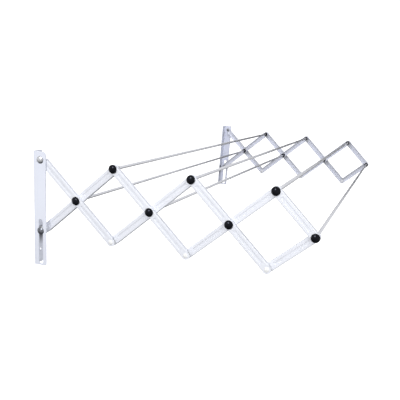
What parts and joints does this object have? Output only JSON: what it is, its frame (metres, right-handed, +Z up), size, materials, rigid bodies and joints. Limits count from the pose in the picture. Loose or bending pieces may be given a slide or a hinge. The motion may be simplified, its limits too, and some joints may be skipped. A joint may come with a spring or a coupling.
{
  "type": "wall mounted extending drying rack",
  "caption": "Wall mounted drying rack: scissor sides of white channel arms on slotted wall brackets carry hanging rods with black end caps and pull out or push back.",
  "frame": {"origin": "centre of the four wall screw holes, on the wall plane", "axes": "+X along the rods, +Y into the wall, +Z up; the rack pulls out towards -Y"},
  "size_m": [1.227, 0.5403, 0.2188],
  "materials": {
    "bracket_coat": "semi-gloss powder coat",
    "arm_coat": "semi-gloss powder coat",
    "rod_metal": "satin drawn tube",
    "cap_plastic": "glossy moulded",
    "spacer_plastic": "natural moulded",
    "rivet_coat": "gloss white enamel",
    "pin_steel": "polished"
  },
  "bodies": {
    "brackets": {"bracket_left": "bracket_coat", "bracket_right": "bracket_coat", "top_pins": "pin_steel", "top_washers": "spacer_plastic"},
    "outer_pair_1": {"outer_arm_1_left": "arm_coat", "outer_arm_1_right": "arm_coat", "rod_1": "rod_metal", "rod_caps_1": "cap_plastic", "rod_spacers_1": "spacer_plastic", "rod_collars_1": "cap_plastic", "lower_rivets_1": "rivet_coat", "lower_spacers_1": "spacer_plastic"},
    "inner_pair_1": {"inner_arm_1_left": "arm_coat", "inner_arm_1_right": "arm_coat", "rod_2": "rod_metal", "rod_caps_2": "cap_plastic", "rod_spacers_2": "spacer_plastic", "rod_collars_2": "cap_plastic", "slot_pins": "pin_steel", "slot_bushes": "spacer_plastic"},
    "outer_pair_2": {"outer_arm_2_left": "arm_coat", "outer_arm_2_right": "arm_coat", "rod_3": "rod_metal", "rod_caps_3": "cap_plastic", "rod_spacers_3": "spacer_plastic", "rod_collars_3": "cap_plastic", "lower_rivets_2": "rivet_coat", "lower_spacers_2": "spacer_plastic"},
    "inner_pair_2": {"inner_arm_2_left": "arm_coat", "inner_arm_2_right": "arm_coat", "rod_4": "rod_metal", "rod_caps_4": "cap_plastic", "rod_spacers_4": "spacer_plastic", "rod_collars_4": "cap_plastic"},
    "outer_pair_3": {"outer_arm_3_left": "arm_coat", "outer_arm_3_right": "arm_coat", "rod_5": "rod_metal", "rod_caps_5": "cap_plastic", "rod_spacers_5": "spacer_plastic", "rod_collars_5": "cap_plastic", "lower_rivets_3": "rivet_coat", "lower_spacers_3": "spacer_plastic"},
    "inner_pair_3": {"inner_arm_3_left": "arm_coat", "inner_arm_3_right": "arm_coat", "rod_6": "rod_metal", "rod_caps_6": "cap_plastic", "rod_spacers_6": "spacer_plastic", "rod_collars_6": "cap_plastic"},
    "outer_end_pair": {"outer_end_arm_left": "arm_coat", "outer_end_arm_right": "arm_coat", "rod_7": "rod_metal", "rod_caps_7": "cap_plastic", "rod_spacers_7": "spacer_plastic", "rod_collars_7": "cap_plastic"},
    "inner_end_pair": {"inner_end_arm_left": "arm_coat", "inner_end_arm_right": "arm_coat"}
  },
  "joints": [
    {"name": "wall_pivot", "type": "hinge", "parent": "brackets", "child": "outer_pair_1", "pos_m": [0, -0.0154, 0.09435], "axis": [1, 0, 0], "range_deg": [-6.4, 34.76]},
    {"name": "crossing_1", "type": "hinge", "parent": "outer_pair_1", "child": "inner_pair_1", "pos_m": [0, -0.08925, 0.02692], "axis": [1, 0, 0], "range_deg": [-69.52, 12.8]},
    {"name": "upper_pivot_1", "type": "hinge", "parent": "inner_pair_1", "child": "outer_pair_2", "pos_m": [0, -0.16309, 0.09435], "axis": [1, 0, 0], "range_deg": [-12.8, 69.52]},
    {"name": "crossing_2", "type": "hinge", "parent": "outer_pair_2", "child": "inner_pair_2", "pos_m": [0, -0.23694, 0.02692], "axis": [1, 0, 0], "range_deg": [-69.52, 12.8]},
    {"name": "upper_pivot_2", "type": "hinge", "parent": "inner_pair_2", "child": "outer_pair_3", "pos_m": [0, -0.31078, 0.09435], "axis": [1, 0, 0], "range_deg": [-12.8, 69.52]},
    {"name": "crossing_3", "type": "hinge", "parent": "outer_pair_3", "child": "inner_pair_3", "pos_m": [0, -0.38463, 0.02692], "axis": [1, 0, 0], "range_deg": [-69.52, 12.8]},
    {"name": "upper_pivot_3", "type": "hinge", "parent": "inner_pair_3", "child": "outer_end_pair", "pos_m": [0, -0.45847, 0.09435], "axis": [1, 0, 0], "range_deg": [-12.8, 69.52]},
    {"name": "end_pivot", "type": "hinge", "parent": "outer_end_pair", "child": "inner_end_pair", "pos_m": [0, -0.53232, 0.02692], "axis": [1, 0, 0], "range_deg": [-69.52, 12.8]}
  ],
  "couplings": [
    {"joint": "crossing_1", "follows": "wall_pivot", "ratio": -2},
    {"joint": "upper_pivot_1", "follows": "wall_pivot", "ratio": 2},
    {"joint": "crossing_2", "follows": "wall_pivot", "ratio": -2},
    {"joint": "upper_pivot_2", "follows": "wall_pivot", "ratio": 2},
    {"joint": "crossing_3", "follows": "wall_pivot", "ratio": -2},
    {"joint": "upper_pivot_3", "follows": "wall_pivot", "ratio": 2},
    {"joint": "end_pivot", "follows": "wall_pivot", "ratio": -2}
  ]
}
